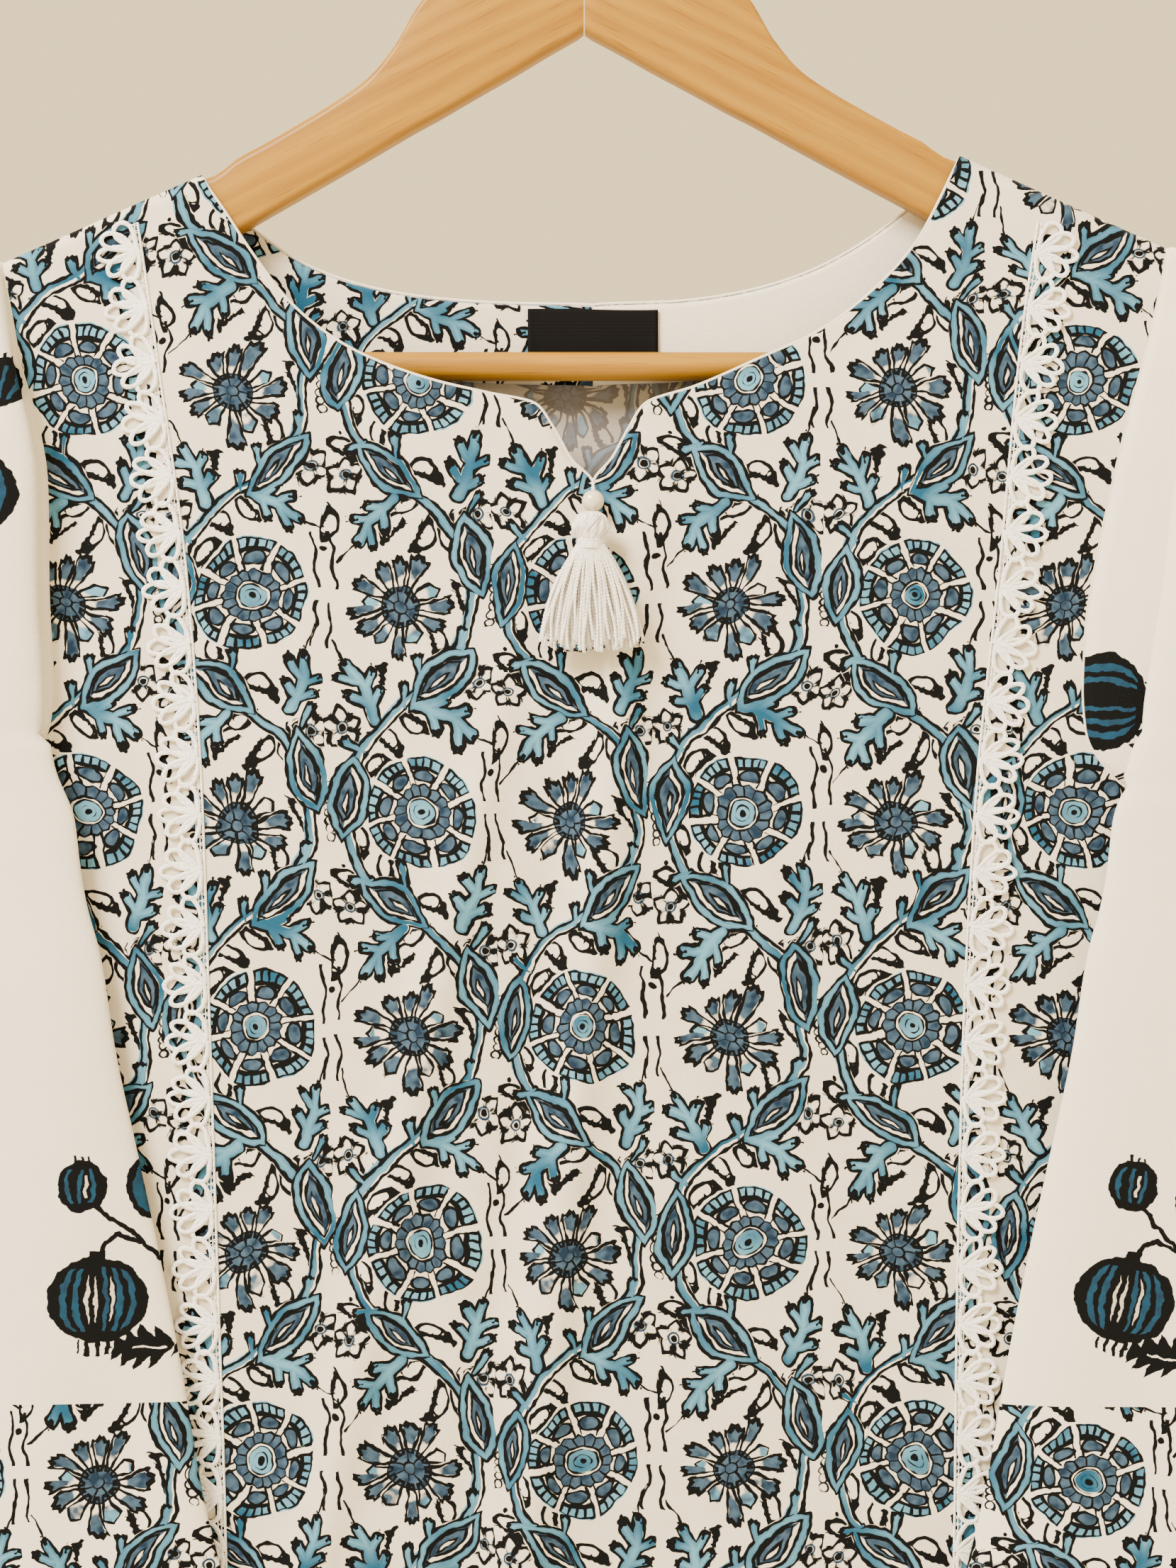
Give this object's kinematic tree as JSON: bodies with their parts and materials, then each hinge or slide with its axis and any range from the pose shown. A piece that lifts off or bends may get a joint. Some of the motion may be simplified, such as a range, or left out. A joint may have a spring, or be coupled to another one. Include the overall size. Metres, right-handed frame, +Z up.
{
  "type": "salwar kameez suit on a wooden hanger",
  "caption": "Cotton salwar kameez suit hung flat on a wooden hanger: a block-printed tunic with a notched neck, a tassel and scalloped lace strips, over plain straight trousers.",
  "frame": {"origin": "inner top of the hanger's hook, where a rail holds it", "axes": "+X to the viewer's right, +Y away from the viewer to the tunic's back, +Z up; the tunic's front faces -Y"},
  "size_m": [0.599, 0.0569, 1.2391],
  "materials": {
    "wood": "clear lacquer",
    "steel": "polished",
    "printed_cotton": "block-printed plain weave",
    "white_cotton": "plain weave",
    "lace": "embroidered cord",
    "label": "satin weave, bare",
    "pearl": "pearl",
    "thread": "twisted cotton thread"
  },
  "bodies": {
    "root": {"hanger_arm_left": "wood", "hanger_arm_right": "wood", "hanger_bar": "wood", "hanger_hook": "steel", "hanger_loop_left": "white_cotton", "hanger_loop_right": "white_cotton", "kameez_front": "printed_cotton", "kameez_back": "printed_cotton", "lace_left": "lace", "lace_right": "lace", "neck_facing_left": "printed_cotton", "neck_facing_right": "white_cotton", "neck_label": "label", "neck_pearl": "pearl", "neck_tassel": "thread", "salwar_belt": "white_cotton", "salwar_cuff_left": "white_cotton", "salwar_cuff_right": "white_cotton", "salwar_leg_left": "white_cotton", "salwar_leg_right": "white_cotton", "sleeve_left": "white_cotton", "sleeve_right": "white_cotton"}
  },
  "joints": []
}
